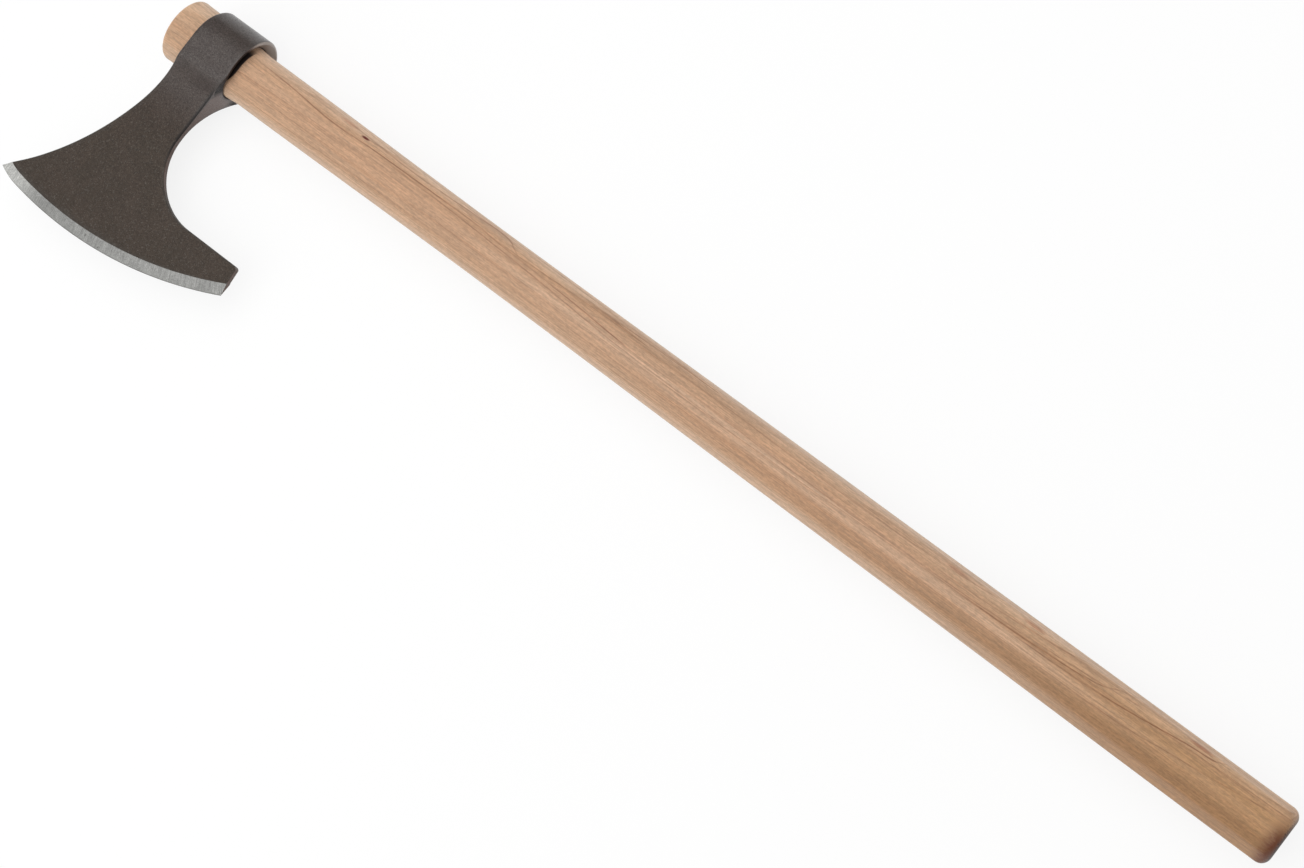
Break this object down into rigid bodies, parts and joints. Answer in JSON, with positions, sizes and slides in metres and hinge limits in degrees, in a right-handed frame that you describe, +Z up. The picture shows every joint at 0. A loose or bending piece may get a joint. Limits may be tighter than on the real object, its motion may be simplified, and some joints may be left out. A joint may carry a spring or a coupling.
{
  "type": "hand axe",
  "caption": "Bearded hand axe: a forged steel head with a tapered round eye on a long round wooden haft that is fed in from above and wedges by its swollen top.",
  "frame": {"origin": "middle of the bottom of the bounding box, with the axe lying on its side", "axes": "+X along the haft towards its butt end, +Y from the cutting edge towards the eye, +Z up across the blade's thickness"},
  "size_m": [0.8062, 0.1579, 0.047],
  "materials": {
    "wood": "bare sanded pale hardwood with long fine grain, a little browner towards the butt end",
    "steel": "satin dark brown-grey coating over forged steel, with a bare light grey ground bevel along the cutting edge"
  },
  "bodies": {
    "haft": {"haft": "wood"},
    "head": {"axe_head": "steel"}
  },
  "joints": [
    {"name": "head_slide", "type": "slide", "parent": "haft", "child": "head", "axis": [1, 0, 0], "range_m": [0, 0.75]}
  ]
}
